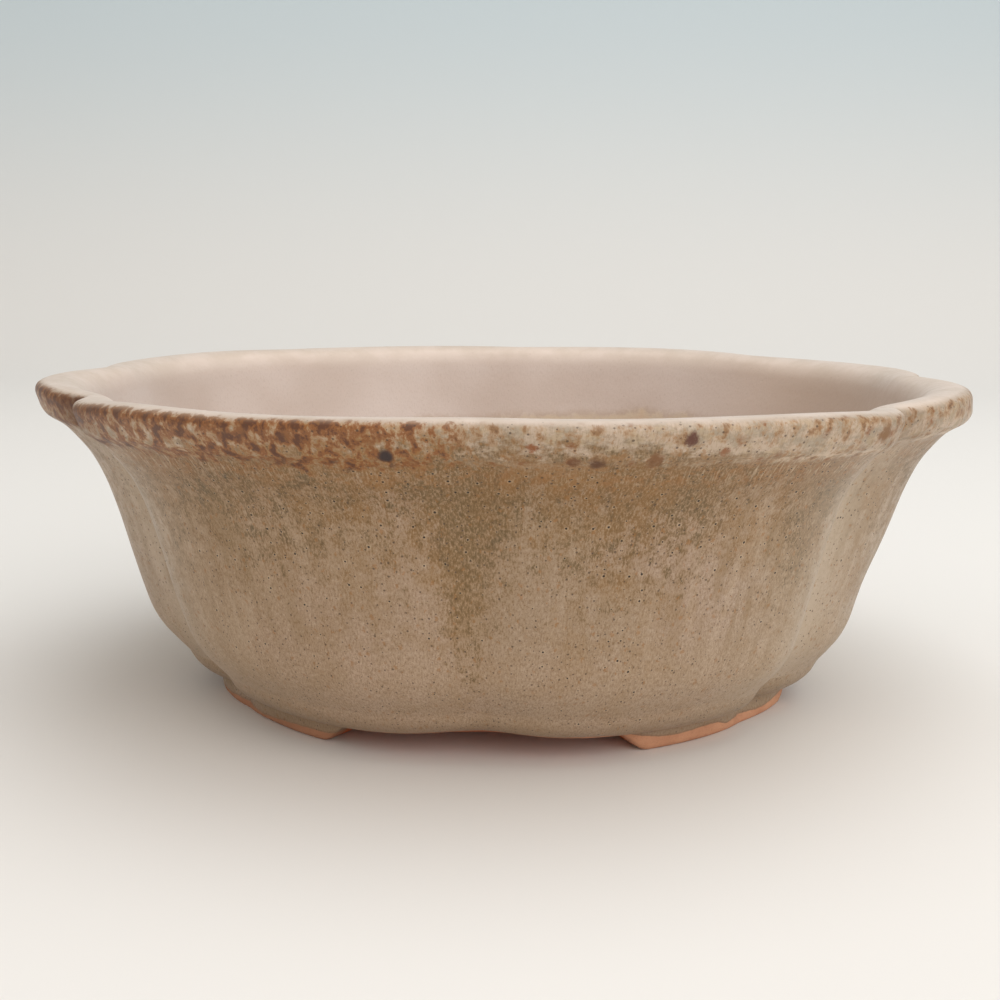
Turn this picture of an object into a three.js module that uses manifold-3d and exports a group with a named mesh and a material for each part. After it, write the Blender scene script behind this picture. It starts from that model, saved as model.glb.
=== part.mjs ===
// A lobed, glazed stoneware bonsai pot on four arc feet, with the drainage screens and
// wire staples that it is potted up with. Millimetres, +Z up, origin on the ground plane
// at the centre of the foot ring, front face towards -Y.

import * as THREE from 'three';
import { mergeVertices } from 'three/addons/utils/BufferGeometryUtils.js';
import Module from 'manifold-3d';

// ---- Driving dimensions -------------------------------------------------------------

const RIM_RADIUS = 135;          // crest of a lobe at the lip
const POT_HEIGHT = 92;
const FOOT_HEIGHT = 6;
const SLAB_TOP = 13;             // floor slab lies between FOOT_HEIGHT and this height
const WALL_TOP = 80;             // the lip band is luted on at this height

const SEGMENTS = 144;            // steps round the pot

// Plan: eight lobes. Each groove has an angle from the front, positive towards +X, a depth
// as a share of the local radius, and the power by which the lobe before it and the lobe
// after it turn in: a high power makes a flat lobe with a tight end. The two broad lobes
// face the front.
const GROOVES = [
  { angle: -180, depth: 0.038, before: 3, after: 3 },
  { angle: -138, depth: 0.038, before: 3, after: 3 },
  { angle: -96, depth: 0.055, before: 3, after: 2.2 },
  { angle: -57, depth: 0.06, before: 2.2, after: 7 },
  { angle: 0, depth: 0.033, before: 3.2, after: 3.2 },
  { angle: 55, depth: 0.058, before: 7, after: 2.2 },
  { angle: 96, depth: 0.055, before: 2.2, after: 3 },
  { angle: 138, depth: 0.038, before: 3, after: 3 },
];

// Drainage: two large holes on the long axis, four small ones for the tie wire.
const DRAIN_OFFSET = 40;
const DRAIN_RADIUS = 10.5;
const TIE_OFFSET_X = 34;
const TIE_OFFSET_Y = 44;
const TIE_RADIUS = 2.5;

// Feet: one in each quarter, an arc that follows the slab's edge. Each span is in degrees
// from the front, between the ends of the foot's top face.
const FOOT_SPANS = {
  foot_front_right: [24, 76],
  foot_front_left: [-76, -26],
  foot_back_right: [105, 154],
  foot_back_left: [-154, -105],
};
const FOOT_OUTER_RADIUS = 86;
const FOOT_THICKNESS = 15;
const FOOT_DRAFT = 2;            // how far the foot steps in from top to bottom
const FOOT_END_DRAFT = 3.5;      // degrees by which each end slopes in
const FOOT_TOP_GROOVING = 1;     // the feet's share of the wall's groove depth, at the slab
const FOOT_LOW_GROOVING = 0.3;   // and on the ground
const FOOT_STEPS = 24;

// Drainage screen: square of plastic mesh over each large hole.
const SCREEN_CELLS = 6;          // openings along each side
const SCREEN_PITCH = 5;
const SCREEN_BAR = 1.4;
const SCREEN_THICKNESS = 1.2;
const SCREEN_LAYER = 0.8;        // thickness of each of its two crossed layers of bars
const SCREEN_LIFT = 0.3;         // clearance over the slab

// Staple: aluminium wire over the screen, down through the hole and out under the slab.
const WIRE_RADIUS = 0.7;
const STAPLE_HALF_SPAN = 7.5;    // sits in the middle of a mesh opening
const STAPLE_LEG_REACH = 19;
const STAPLE_CLEARANCE = 0.35;
const STAPLE_BEND = 2;
const STAPLE_SIDES = 8;
const STAPLE_STEPS = 48;

// Half sections of the pot wall at a lobe's crest, as [radius, height].
const OUTER_WALL = [
  [95.0, SLAB_TOP],
  [98.7, 17],
  [102.0, 20.8],
  [104.5, 25],
  [107.0, 32],
  [110.3, 43],
  [113.8, 55],
  [117.4, 65],
  [121.0, 72],
  [124.4, 76.4],
  [127.8, WALL_TOP],
];
const INNER_WALL = [
  [117.5, WALL_TOP],
  [114.2, 72],
  [110.2, 62],
  [105.8, 46],
  [101.4, 34],
  [97.0, 25],
  [92.6, 18],
  [88.0, 14],
  [85.0, SLAB_TOP],
];
const LIP = [
  [127.8, WALL_TOP],
  [130.4, 81.8],
  [132.4, 83.0],
  [133.6, 84.6],
  [134.4, 87.0],
  [RIM_RADIUS, 89.5],
  [134.5, 90.9],
  [133.0, 91.7],
  [130.6, POT_HEIGHT],
  [127.0, 91.6],
  [123.6, 90.2],
  [121.0, 87.6],
  [119.2, 84.2],
  [117.5, WALL_TOP],
];
const SLAB_EDGE = [
  [0, FOOT_HEIGHT],
  [86.2, FOOT_HEIGHT],
  [88.2, 6.35],
  [90.8, 7.7],
  [93.2, 10],
  [95.0, SLAB_TOP],
  [0, SLAB_TOP],
];

// ---- Materials ----------------------------------------------------------------------

const glaze = (color) => new THREE.MeshStandardMaterial({ color, roughness: 0.38, metalness: 0 });
const WALL_GLAZE = glaze(0x9c8268);
const LIP_GLAZE = glaze(0xb7a088);
const BARE_CLAY = new THREE.MeshStandardMaterial({ color: 0xb5805f, roughness: 0.85, metalness: 0 });
const MESH_PLASTIC = new THREE.MeshStandardMaterial({ color: 0x1f2422, roughness: 0.6, metalness: 0 });
const WIRE_METAL = new THREE.MeshStandardMaterial({ color: 0x8a6a4a, roughness: 0.4, metalness: 0.9 });

// ---- Lobed plan ---------------------------------------------------------------------

const degrees = THREE.MathUtils.degToRad;
const TURN = 360;

// How much of its radius the pot loses at an angle (degrees from the front).
function grooveLoss(angle) {
  const turned = THREE.MathUtils.euclideanModulo(angle - GROOVES[0].angle, TURN) + GROOVES[0].angle;
  let index = GROOVES.length - 1;
  while (GROOVES[index].angle > turned) index -= 1;
  const left = GROOVES[index];
  const right = GROOVES[(index + 1) % GROOVES.length];
  const width = THREE.MathUtils.euclideanModulo(right.angle - left.angle, TURN);
  const along = (turned - left.angle) / width;
  const closeness = Math.abs(2 * along - 1);
  if (along < 0.5) return left.depth * closeness ** left.after;
  return right.depth * closeness ** right.before;
}

function lobedPoint(radius, angle, height, grooving = 1) {
  const r = radius * (1 - grooving * grooveLoss(angle));
  return new THREE.Vector3(r * Math.sin(degrees(angle)), -r * Math.cos(degrees(angle)), height);
}

// A closed half section turned round the pot's axis, then drawn in along the grooves.
function lobedLathe(section) {
  const outline = section.map(([radius, height]) => new THREE.Vector2(radius, height));
  const geometry = new THREE.LatheGeometry(outline, SEGMENTS);
  geometry.rotateX(Math.PI / 2);
  const position = geometry.attributes.position;
  for (let i = 0; i < position.count; i += 1) {
    const radius = Math.hypot(position.getX(i), position.getY(i));
    const angle = THREE.MathUtils.radToDeg(Math.atan2(position.getX(i), -position.getY(i)));
    const point = lobedPoint(radius, angle, position.getZ(i));
    position.setXYZ(i, point.x, point.y, point.z);
  }
  return geometry;
}

// ---- Booleans -----------------------------------------------------------------------

const wasm = await Module();
wasm.setup();

function toSolid(geometry) {
  const bare = geometry.clone();
  bare.deleteAttribute('normal');
  bare.deleteAttribute('uv');
  const merged = mergeVertices(bare, 1e-4);
  return new wasm.Manifold(new wasm.Mesh({
    numProp: 3,
    vertProperties: new Float32Array(merged.attributes.position.array),
    triVerts: new Uint32Array(merged.index.array),
  }));
}

function toGeometry(solid) {
  const mesh = solid.getMesh();
  const geometry = new THREE.BufferGeometry();
  geometry.setAttribute('position', new THREE.BufferAttribute(mesh.vertProperties, 3));
  geometry.setIndex(new THREE.BufferAttribute(mesh.triVerts, 1));
  geometry.computeVertexNormals();
  return geometry;
}

// ---- Parts --------------------------------------------------------------------------

const pot = new THREE.Group();

function addPart(name, geometry, material) {
  const mesh = new THREE.Mesh(geometry, material);
  mesh.name = name;
  pot.add(mesh);
  return mesh;
}

function closedLoop(section) {
  return [...section, section[0]];
}

function makeWall() {
  return lobedLathe(closedLoop([...OUTER_WALL, ...INNER_WALL]));
}

function makeLip() {
  return lobedLathe(closedLoop(LIP));
}

function upright(radius, x, y) {
  const overshoot = 4;
  const height = SLAB_TOP - FOOT_HEIGHT + 2 * overshoot;
  const cutter = new THREE.CylinderGeometry(radius, radius, height, 32);
  cutter.rotateX(Math.PI / 2);
  cutter.translate(x, y, (SLAB_TOP + FOOT_HEIGHT) / 2);
  return toSolid(cutter);
}

function makeSlab() {
  let slab = toSolid(lobedLathe(SLAB_EDGE));
  for (const side of [-1, 1]) {
    slab = slab.subtract(upright(DRAIN_RADIUS, side * DRAIN_OFFSET, 0));
    for (const end of [-1, 1]) {
      slab = slab.subtract(upright(TIE_RADIUS, side * TIE_OFFSET_X, end * TIE_OFFSET_Y));
    }
  }
  return toGeometry(slab);
}

// One foot between two angles: rings of four corners, closed at both ends.
function makeFoot(start, end) {
  const positions = [];
  const index = [];
  const inner = FOOT_OUTER_RADIUS - FOOT_THICKNESS;
  const middle = (start + end) / 2;
  const halfTop = (end - start) / 2;
  for (let i = 0; i <= FOOT_STEPS; i += 1) {
    const along = (2 * i) / FOOT_STEPS - 1;
    const top = middle + along * halfTop;
    const bottom = middle + along * (halfTop - FOOT_END_DRAFT);
    const corners = [
      lobedPoint(FOOT_OUTER_RADIUS, top, FOOT_HEIGHT, FOOT_TOP_GROOVING),
      lobedPoint(inner, top, FOOT_HEIGHT, FOOT_TOP_GROOVING),
      lobedPoint(inner + FOOT_DRAFT, bottom, 0, FOOT_LOW_GROOVING),
      lobedPoint(FOOT_OUTER_RADIUS - FOOT_DRAFT, bottom, 0, FOOT_LOW_GROOVING),
    ];
    for (const corner of corners) positions.push(corner.x, corner.y, corner.z);
  }
  const quad = (a, b, c, d) => index.push(a, c, b, a, d, c);
  for (let i = 0; i < FOOT_STEPS; i += 1) {
    for (let side = 0; side < 4; side += 1) {
      const next = (side + 1) % 4;
      quad(4 * i + side, 4 * i + next, 4 * (i + 1) + next, 4 * (i + 1) + side);
    }
  }
  const last = 4 * FOOT_STEPS;
  quad(0, 3, 2, 1);
  quad(last, last + 1, last + 2, last + 3);
  const geometry = new THREE.BufferGeometry();
  geometry.setAttribute('position', new THREE.Float32BufferAttribute(positions, 3));
  geometry.setIndex(index);
  geometry.computeVertexNormals();
  return geometry;
}

function makeBar(width, depth, height, x, y, bottom) {
  const bar = new THREE.BoxGeometry(width, depth, height);
  bar.translate(x, y, bottom + height / 2);
  return toSolid(bar);
}

// Two crossed layers of plastic bars, welded where they meet.
function makeScreen(x) {
  const length = SCREEN_CELLS * SCREEN_PITCH + SCREEN_BAR;
  const bottom = SLAB_TOP + SCREEN_LIFT;
  const upper = bottom + SCREEN_THICKNESS - SCREEN_LAYER;
  const bars = [];
  for (let i = 0; i <= SCREEN_CELLS; i += 1) {
    const across = (i - SCREEN_CELLS / 2) * SCREEN_PITCH;
    bars.push(makeBar(length, SCREEN_BAR, SCREEN_LAYER, x, across, bottom));
    bars.push(makeBar(SCREEN_BAR, length, SCREEN_LAYER, x + across, 0, upper));
  }
  return toGeometry(bars.reduce((screen, bar) => screen.add(bar)));
}

// Straight wire runs joined by rounded corners.
function bentPath(points, bend) {
  const path = new THREE.CurvePath();
  let from = points[0];
  for (let i = 1; i < points.length - 1; i += 1) {
    const corner = points[i];
    const before = corner.clone().sub(points[i - 1]).setLength(bend);
    const after = points[i + 1].clone().sub(corner).setLength(bend);
    const entry = corner.clone().sub(before);
    const exit = corner.clone().add(after);
    path.add(new THREE.LineCurve3(from, entry));
    path.add(new THREE.QuadraticBezierCurve3(entry, corner, exit));
    from = exit;
  }
  path.add(new THREE.LineCurve3(from, points[points.length - 1]));
  return path;
}

function makeStaple(x) {
  const over = SLAB_TOP + SCREEN_LIFT + SCREEN_THICKNESS + STAPLE_CLEARANCE + WIRE_RADIUS;
  const under = FOOT_HEIGHT - STAPLE_CLEARANCE - WIRE_RADIUS;
  const y = SCREEN_PITCH / 2;
  const path = bentPath([
    new THREE.Vector3(-STAPLE_LEG_REACH, y, under),
    new THREE.Vector3(-STAPLE_HALF_SPAN, y, under),
    new THREE.Vector3(-STAPLE_HALF_SPAN, y, over),
    new THREE.Vector3(STAPLE_HALF_SPAN, y, over),
    new THREE.Vector3(STAPLE_HALF_SPAN, y, under),
    new THREE.Vector3(STAPLE_LEG_REACH, y, under),
  ], STAPLE_BEND);
  const section = new THREE.Shape();
  for (let i = 0; i < STAPLE_SIDES; i += 1) {
    const turn = (2 * Math.PI * i) / STAPLE_SIDES;
    const corner = [WIRE_RADIUS * Math.cos(turn), WIRE_RADIUS * Math.sin(turn)];
    if (i === 0) section.moveTo(...corner);
    else section.lineTo(...corner);
  }
  section.closePath();
  const geometry = new THREE.ExtrudeGeometry(section, { steps: STAPLE_STEPS, extrudePath: path });
  geometry.translate(x, 0, 0);
  return geometry;
}

addPart('wall_shell', makeWall(), WALL_GLAZE);
addPart('lip_band', makeLip(), LIP_GLAZE);
addPart('floor_slab', makeSlab(), BARE_CLAY);

for (const [name, [start, end]] of Object.entries(FOOT_SPANS)) {
  addPart(name, makeFoot(start, end), BARE_CLAY);
}

for (const [side, x] of [['left', -DRAIN_OFFSET], ['right', DRAIN_OFFSET]]) {
  addPart(`drain_screen_${side}`, makeScreen(x), MESH_PLASTIC);
  addPart(`screen_staple_${side}`, makeStaple(x), WIRE_METAL);
}

export default pot;
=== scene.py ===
"""A glazed octafoil bonsai pot on four arc feet, in a plain pale studio. Metres, +Z up, front towards -Y."""

import math

import bpy
import numpy as np
from mathutils import Matrix, Vector
from mathutils.geometry import delaunay_2d_cdt


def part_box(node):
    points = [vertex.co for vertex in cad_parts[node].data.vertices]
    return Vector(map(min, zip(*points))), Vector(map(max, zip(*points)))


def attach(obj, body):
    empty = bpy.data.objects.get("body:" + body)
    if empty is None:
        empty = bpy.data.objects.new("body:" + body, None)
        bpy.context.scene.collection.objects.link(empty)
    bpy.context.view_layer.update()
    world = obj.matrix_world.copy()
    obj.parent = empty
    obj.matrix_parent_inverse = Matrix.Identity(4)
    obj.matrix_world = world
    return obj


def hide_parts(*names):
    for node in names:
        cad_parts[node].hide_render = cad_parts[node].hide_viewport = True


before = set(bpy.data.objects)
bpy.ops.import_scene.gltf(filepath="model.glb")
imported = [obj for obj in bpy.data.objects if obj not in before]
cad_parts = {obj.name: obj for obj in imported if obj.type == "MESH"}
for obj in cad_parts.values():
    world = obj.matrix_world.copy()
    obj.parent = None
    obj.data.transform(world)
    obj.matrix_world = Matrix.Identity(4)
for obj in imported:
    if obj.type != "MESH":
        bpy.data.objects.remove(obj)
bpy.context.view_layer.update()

MM = 0.001
ROOT = "root"

# ---- Heights and radii, from the frame ----------------------------------------------------

FOOT_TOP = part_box("floor_slab")[0].z / MM
SLAB_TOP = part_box("floor_slab")[1].z / MM
WALL_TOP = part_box("wall_shell")[1].z / MM
POT_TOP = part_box("lip_band")[1].z / MM
LIP_HALF_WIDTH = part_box("lip_band")[1].x / MM

# ---- Plan: eight lobes --------------------------------------------------------------------

# Angle from the front in degrees, positive towards +X; depth as a share of the radius; and how
# sharply the lobe before it and the lobe after it turn in, as powers.
GROOVES = [
    (-180, 0.038, 3.0, 3.0), (-138, 0.038, 3.0, 3.0), (-96, 0.055, 3.0, 2.2), (-57, 0.064, 2.2, 8.0),
    (0, 0.033, 3.2, 3.2), (55, 0.062, 8.0, 2.2), (96, 0.055, 2.2, 3.0), (138, 0.038, 3.0, 3.0),
]
AROUND = 720
OUTER_ROUNDING = 0.05  # how round the bottom of a groove is, as a share of a lobe's half width
INNER_ROUNDING = 0.5


def closeness(angle, rounding=OUTER_ROUNDING):
    """1 in the middle of a groove and 0 on a crest; and the depth and the power of the nearest groove."""
    turned = np.mod(np.asarray(angle, float) + 180, 360) - 180
    rounding = np.broadcast_to(np.asarray(rounding, float), turned.shape)
    near, depth, power = np.zeros_like(turned), np.zeros_like(turned), np.ones_like(turned)
    for i, (left, left_depth, _, left_power) in enumerate(GROOVES):
        right, right_depth, right_power, _ = GROOVES[(i + 1) % len(GROOVES)]
        along = (turned - left) / ((right - left) % 360)
        inside = (along >= 0) & (along < 1)
        apart = 1 - np.abs(2 * along - 1)
        soft = (np.sqrt(apart**2 + rounding**2) - rounding) / (np.sqrt(1 + rounding**2) - rounding)
        near = np.where(inside, 1 - np.clip(soft, 0, 1), near)
        depth = np.where(inside, np.where(along < 0.5, left_depth, right_depth), depth)
        power = np.where(inside, np.where(along < 0.5, left_power, right_power), power)
    return near, depth, power


def groove_loss(angle, rounding=OUTER_ROUNDING):
    near, depth, power = closeness(angle, rounding)
    return depth * near**power


ANGLES = np.linspace(-180, 180, AROUND, endpoint=False)
CREST = LIP_HALF_WIDTH / np.max((1 - groove_loss(ANGLES)) * np.sin(np.radians(ANGLES)))
DRAWN_CREST = 135  # mm; the radius of a crest in the half sections below
SIZE = CREST / DRAWN_CREST

# ---- Half sections at a lobe's crest: radius in mm of a 135 mm crest, height in mm --------

EDGE = [
    (86.2, FOOT_TOP), (88.2, FOOT_TOP + 0.35), (90.8, FOOT_TOP + 1.7), (93.2, FOOT_TOP + 4.0),
    (95.0, SLAB_TOP),
]
OUTER_WALL = [
    (95.0, SLAB_TOP), (98.7, 17), (102.0, 20.8), (104.5, 25), (107.0, 32), (110.3, 43),
    (113.8, 55), (117.4, 65), (121.0, 72), (124.4, 76.4), (127.8, WALL_TOP),
]
LIP = [
    (127.8, WALL_TOP), (130.4, 81.8), (132.4, 83.0), (133.6, 84.6), (134.4, 87.0), (DRAWN_CREST, 89.5),
    (134.5, 90.9), (133.0, 91.7), (130.6, POT_TOP), (127.0, 91.6), (123.6, 90.2), (121.0, 87.6),
    (119.2, 84.2), (117.5, WALL_TOP),
]
INNER_WALL = [
    (117.5, WALL_TOP), (114.2, 72), (110.2, 62), (105.8, 46), (101.4, 34), (97.0, 25),
    (92.6, 18), (88.0, 14), (85.0, SLAB_TOP),
]

# Start and end of each foot, in degrees from the front.
FOOT_SPANS = {
    "foot_front_right": (22.8, 77.0),
    "foot_front_left": (-77.0, -24.5),
    "foot_back_right": (104.0, 155.5),
    "foot_back_left": (-155.5, -104.0),
}


SPLINE_STEPS = 24


def spline(points, knots):
    """A centripetal Catmull-Rom curve through the points: a fine polyline and each knot's index in it."""
    p = np.asarray(points, float)
    fine, index = [], [0]
    for i in range(len(p) - 1):
        before = p[i - 1] if i else 2 * p[0] - p[1]
        after = p[i + 2] if i + 2 < len(p) else 2 * p[-1] - p[-2]
        legs = ((before, p[i]), (p[i], p[i + 1]), (p[i + 1], after))
        ts = np.cumsum([0] + [np.linalg.norm(b - a) ** 0.5 for a, b in legs])
        t = np.linspace(ts[1], ts[2], SPLINE_STEPS, endpoint=False)[:, None]
        a1 = (ts[1] - t) / (ts[1] - ts[0]) * before + (t - ts[0]) / (ts[1] - ts[0]) * p[i]
        a2 = (ts[2] - t) / (ts[2] - ts[1]) * p[i] + (t - ts[1]) / (ts[2] - ts[1]) * p[i + 1]
        a3 = (ts[3] - t) / (ts[3] - ts[2]) * p[i + 1] + (t - ts[2]) / (ts[3] - ts[2]) * after
        b1 = (ts[2] - t) / (ts[2] - ts[0]) * a1 + (t - ts[0]) / (ts[2] - ts[0]) * a2
        b2 = (ts[3] - t) / (ts[3] - ts[1]) * a2 + (t - ts[1]) / (ts[3] - ts[1]) * a3
        fine.append((ts[2] - t) / (ts[2] - ts[1]) * b1 + (t - ts[1]) / (ts[2] - ts[1]) * b2)
        index.append(index[-1] + SPLINE_STEPS)
    fine.append(p[-1:])
    return np.concatenate(fine), [index[k] for k in knots]


def resample(points, count):
    """The same polyline with evenly spaced points."""
    length = np.concatenate([[0], np.cumsum(np.linalg.norm(np.diff(points, axis=0), axis=1))])
    at = np.linspace(0, length[-1], count)
    return np.stack([np.interp(at, length, points[:, k]) for k in range(2)], axis=1)


PROFILE = EDGE + OUTER_WALL[1:] + LIP[1:] + INNER_WALL[1:]
K_SLAB = len(EDGE) - 1
K_OUTER = K_SLAB + len(OUTER_WALL) - 1
K_LIP = K_OUTER + len(LIP) - 1
K_INNER = K_LIP + len(INNER_WALL) - 1
fine, (i_slab, i_outer, i_lip, i_inner) = spline(PROFILE, [K_SLAB, K_OUTER, K_LIP, K_INNER])
ROWS = {"edge": 8, "outer": 70, "lip": 64, "inner": 44}
parts = [
    resample(fine[: i_slab + 1], ROWS["edge"]),
    resample(fine[i_slab : i_outer + 1], ROWS["outer"]),
    resample(fine[i_outer : i_lip + 1], ROWS["lip"]),
    resample(fine[i_lip : i_inner + 1], ROWS["inner"]),
]
section = np.concatenate([parts[0]] + [p[1:] for p in parts[1:]])
R_SLAB = ROWS["edge"] - 1
R_OUTER = R_SLAB + ROWS["outer"] - 1
R_LIP = R_OUTER + ROWS["lip"] - 1
R_INNER = R_LIP + ROWS["inner"] - 1


def smoothstep(low, high, x):
    t = np.clip((np.asarray(x, float) - low) / (high - low), 0, 1)
    return t * t * (3 - 2 * t)


def bump(centre, width, angle):
    """A smooth hill of height 1 round an angle, in degrees."""
    apart = np.mod(np.asarray(angle, float) - centre + 180, 360) - 180
    return np.exp(-((apart / width) ** 2))


def hill(centre, width, height):
    """A smooth hill of height 1 round a height in mm."""
    return np.exp(-(((height - centre) / width) ** 2))


def hand(angle, height, outside=1.0):
    """The slight unevenness of a hand-pressed pot: radial and vertical offsets in mm."""
    a = np.radians(angle)
    upper = smoothstep(60, POT_TOP, height)
    low = 1 - smoothstep(8, 40, height)

    # A slow waver all round.
    radial = 0.30 * np.sin(3 * a + 0.8) + 0.22 * np.sin(5 * a + height / 21 + 2.1)
    radial = (radial + 0.10 * np.sin(11 * a - height / 15)) * smoothstep(FOOT_TOP - 2, 24, height)
    vertical = 0.25 * np.sin(2 * a + 1.2) + 0.25 * np.sin(5 * a + 0.4) + 0.12 * np.sin(9 * a + 2.6)
    vertical = upper * vertical

    # The side lobes are pressed in near the rim, and the right one bulges below it.
    radial = radial - upper * (0.9 * bump(82, 20, angle) - 0.2 * bump(-75, 20, angle))
    radial = radial + low * (1.4 * bump(72, 12, angle) - 1.6 * bump(-47, 14, angle))
    radial = radial - 0.7 * bump(80, 16, angle) * hill(28, 12, height)
    right = outside * bump(82, 18, angle)
    radial = radial + right * 1.6 * smoothstep(34, 56, height) * smoothstep(92, 84, height)
    radial = radial + right * 0.5 * hill(84, 3, height)

    # The rim dips at the two notches.
    vertical = vertical - upper * (1.4 * bump(-54, 11, angle) + 1.0 * bump(53, 10, angle))

    # In front the band's lower corner is smoothed into the wall.
    front = outside * bump(-2, 42, angle)
    radial = radial + front * (0.8 * hill(75, 4, height) - 2.0 * hill(84, 3.2, height))

    # Between the front feet the lower edge arches up.
    arch = outside * (1 - smoothstep(FOOT_TOP, 30, height))
    vertical = vertical + arch * 1.9 * bump(-1, 11, angle)
    return radial, vertical


def place(radius, angle, height, grooving=1.0, rounding=OUTER_ROUNDING, outside=1.0):
    """A point of the pot's surface in metres, from the crest radius, the angle and the height in mm."""
    radial, vertical = hand(angle, height, outside)
    r = radius * SIZE * (1 - grooving * groove_loss(angle, rounding)) + radial
    a = np.radians(angle)
    return np.stack([r * np.sin(a), -r * np.cos(a), height + vertical], axis=-1) * MM


def surface(rows):
    """The skin's grid of points: one ring for each row of the section."""
    radius, angle = np.meshgrid(rows[:, 0], ANGLES, indexing="ij")
    height, _ = np.meshgrid(rows[:, 1], ANGLES, indexing="ij")
    number = np.arange(len(rows))[:, None]
    span = R_LIP - R_OUTER
    inward = smoothstep(R_OUTER + 0.34 * span, R_OUTER + 0.9 * span, number)
    rounding = OUTER_ROUNDING + (INNER_ROUNDING - OUTER_ROUNDING) * inward * np.ones_like(radius)
    # The top of the lip follows the grooves least, so the crown runs smoothly past a notch.
    crown = inward * (1 - smoothstep(R_LIP - 8, R_LIP + 36, number))
    return place(radius, angle, height, 1 - 0.25 * inward - 0.35 * crown, rounding, 1 - inward)


def grid_normals(grid):
    """Outward unit normals of a ring grid that runs up the outside, over the lip and down the inside."""
    up = np.gradient(grid, axis=0)
    side = np.roll(grid, -1, axis=1) - np.roll(grid, 1, axis=1)
    n = np.cross(side, up)
    return n / np.linalg.norm(n, axis=-1, keepdims=True)


SKIN = surface(section)
SKIN_NORMALS = grid_normals(SKIN)

# ---- Attributes that the glazes read ------------------------------------------------------

SHEET_RADIUS = 118  # mm; the glaze patterns are drawn on a sheet wrapped round the pot at this radius
row_length = np.concatenate([[0], np.cumsum(np.linalg.norm(np.diff(section, axis=0), axis=1))])
REACH = row_length - row_length[R_OUTER]  # mm up from the band's lower edge, over the lip and down inside


def waver(angle, seed):
    """A smooth random-looking wave round the pot, about -1 to 1."""
    a = np.radians(angle)
    return 0.5 * np.sin(7 * a + seed) + 0.3 * np.sin(13 * a + 2.3 * seed) + 0.2 * np.sin(29 * a + 3.1 * seed)


def clay_line(angle):
    """Height where the glaze ends, in mm: low on the feet, at the slab's edge between them."""
    line = FOOT_TOP + 0.5 + 0.6 * bump(17, 9, angle) + 0.2 * waver(angle, 4.0)
    right = smoothstep(19, 34, angle) * smoothstep(96, 84, angle)
    fall = 3.1 + 0.9 * smoothstep(45, 49, angle) - 2.6 * smoothstep(62, 74, angle) - 0.5 * bump(43, 4, angle)
    line = line - right * fall
    left = smoothstep(-19, -30, angle) * smoothstep(-96, -84, angle)
    line = line - left * (3.8 + 0.9 * smoothstep(-38, -50, angle) - 0.8 * smoothstep(-66, -76, angle))
    back = smoothstep(98, 110, np.abs(angle)) * smoothstep(162, 150, np.abs(angle))
    return line - 3.4 * back


# Runs of glaze down the wall: (mm further down than elsewhere, degrees, half width in degrees).
RUNS = [
    (34, -1.5, 4.0), (10, -26, 14), (12, 14, 5), (14, 23, 6), (22, 43, 5), (10, -45, 6), (8, 66, 8),
    (14, 118, 9), (10, 160, 12), (13, -112, 10), (9, -160, 12),
]
# Where the runs turn olive: (share, degrees, half width in degrees).
OLIVE = [(1.0, -1.5, 2.8), (0.5, 24, 5), (0.5, -31, 7), (0.7, 43, 4), (0.5, 140, 9)]
# Where more iron breaks through on the band than elsewhere, besides the left of the front.
IRON = [(0.22, 44, 12), (0.3, 74, 10), (0.25, 150, 20)]


def hills(table, angle):
    return sum(amount * bump(centre, width, angle) for amount, centre, width in table)


def runs(angle):
    """How far down the wall the ochre and olive glaze runs, in mm."""
    return 19 + 3 * waver(angle, 1.7) + hills(RUNS, angle)


def inner_line(angle):
    """Height of the lower edge of the glaze inside, in mm: higher at the back right."""
    return 63.5 + 6.0 * bump(156, 26, angle) ** 0.7 + 1.2 * waver(angle, 2.9)


def rust(angle):
    """How much iron breaks through on the band: most on the left of the front."""
    left = smoothstep(8, -14, angle) * smoothstep(-125, -75, angle)
    return np.clip(0.16 + 0.84 * left + hills(IRON, angle), 0, 1)


def fields(angle, reach, glaze):
    """The values that the glaze reads at points of the skin; glaze is mm above the edge of the glaze."""
    near, depth, _ = closeness(angle)
    edge = 0.7 * waver(angle, 0.6)
    return {
        "band": smoothstep(-9.0, -7.0, reach + edge) * (1 - smoothstep(13.6, 16.4, reach + edge)),
        "crown": smoothstep(13.2, 16.6, reach + edge),
        "inside": smoothstep(24, 34, reach),
        "reach": reach,
        "crease": near**3.5 * depth / 0.06 * smoothstep(20, 40, np.abs(angle)),
        "rust": rust(angle),
        "olive": np.clip(hills(OLIVE, angle), 0, 1),
        "combed": 0.25 + 0.75 * smoothstep(14, 42, np.abs(angle)),
        "runs": runs(angle),
        "glaze": glaze,
    }


reach_grid, angle_grid = np.meshgrid(REACH, ANGLES, indexing="ij")
height_grid = np.meshgrid(section[:, 1], ANGLES, indexing="ij")[0]
row_grid = np.meshgrid(np.arange(len(section)), ANGLES, indexing="ij")[0]
glaze_grid = np.full_like(reach_grid, 20.0)
glaze_grid = np.where(row_grid <= R_SLAB, height_grid - clay_line(angle_grid), glaze_grid)
glaze_grid = np.where(row_grid > R_LIP, height_grid - inner_line(angle_grid), glaze_grid)
FIELDS = fields(angle_grid, reach_grid, glaze_grid)

# ---- Mesh building ------------------------------------------------------------------------


def add_object(name, verts, faces, normals=None):
    mesh = bpy.data.meshes.new(name)
    mesh.from_pydata(np.asarray(verts).tolist(), [], faces)
    mesh.update()
    mesh.polygons.foreach_set("use_smooth", [True] * len(mesh.polygons))
    if normals is not None:
        mesh.normals_split_custom_set(normals)
    obj = bpy.data.objects.new(name, mesh)
    bpy.context.scene.collection.objects.link(obj)
    return obj


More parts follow.
